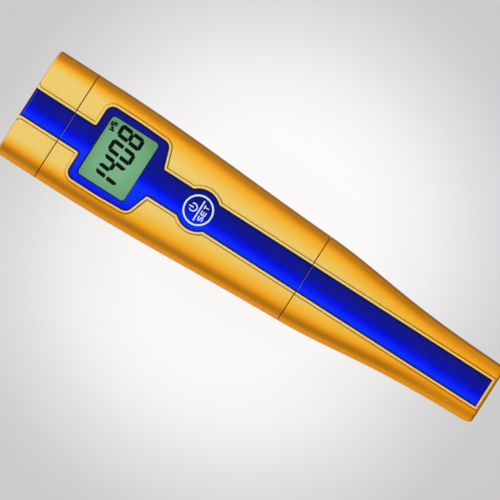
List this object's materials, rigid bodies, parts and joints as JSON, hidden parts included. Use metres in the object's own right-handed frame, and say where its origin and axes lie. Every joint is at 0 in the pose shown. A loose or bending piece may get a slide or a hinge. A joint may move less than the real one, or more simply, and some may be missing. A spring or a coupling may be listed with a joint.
{
  "type": "pocket conductivity meter",
  "caption": "Slim tapered pocket conductivity meter with a display window, a round key, a pull-off battery cap and a pull-off cap over its probe.",
  "frame": {"origin": "middle of the box, on the surface that the flat back rests on", "axes": "+Y towards the battery end, +Z out of the display, +X to the reader's right"},
  "size_m": [0.04, 0.18, 0.0302],
  "materials": {
    "orange_plastic": "semi-gloss moulded plastic",
    "blue_overlay": "glossy printed plastic",
    "clear_window": "clear polished acrylic",
    "display_green": "liquid-crystal glass with a green back",
    "white_plastic": "satin",
    "black_plastic": "satin",
    "grey_plastic": "satin",
    "black_rubber": "matt",
    "pink_elastomer": "matt",
    "board_green": "solder mask",
    "bright_steel": "bright",
    "gold_contact": "bright"
  },
  "bodies": {
    "housing": {"front_shell": "orange_plastic", "rear_shell": "orange_plastic", "front_panel": "blue_overlay", "key_ring": "white_plastic", "window_gasket": "black_rubber", "display_window": "clear_window", "lcd_glass": "display_green", "lcd_holder": "black_plastic", "elastomer_strips": "pink_elastomer", "circuit_board": "board_green", "processor_chip": "black_plastic", "clock_crystal": "bright_steel", "board_screws": "bright_steel", "tact_switch": "black_plastic", "battery_port": "black_plastic", "battery_leaf_contacts": "bright_steel", "electrode_port": "black_plastic", "electrode_port_oring": "black_rubber", "sensor_body": "grey_plastic", "sensor_oring": "black_rubber", "sensor_collar": "black_plastic", "electrode_pins": "bright_steel", "temperature_probe": "bright_steel", "sensor_contact_pins": "gold_contact", "sensor_socket": "black_plastic"},
    "battery_end": {"battery_cap": "orange_plastic", "battery_cap_strip": "blue_overlay", "battery_cap_oring": "black_rubber", "battery_tray": "black_plastic", "tray_screw": "bright_steel", "button_cells": "bright_steel", "minus_contact": "bright_steel", "plus_contact": "bright_steel"},
    "key": {"key_button": "blue_overlay", "key_oring": "black_rubber", "switch_plunger": "white_plastic"},
    "probe_cap": {"electrode_cap": "orange_plastic", "electrode_cap_strip": "blue_overlay"}
  },
  "joints": [
    {"name": "battery_pull", "type": "slide", "parent": "housing", "child": "battery_end", "axis": [0, 1, 0], "range_m": [0, 0.05]},
    {"name": "key_press", "type": "slide", "parent": "housing", "child": "key", "axis": [0, 0, -1], "range_m": [0, 0.0005], "stiffness_N_per_m": 400, "springref_m": -0.001},
    {"name": "cap_pull", "type": "slide", "parent": "housing", "child": "probe_cap", "axis": [0, -1, 0], "range_m": [0, 0.07]}
  ]
}
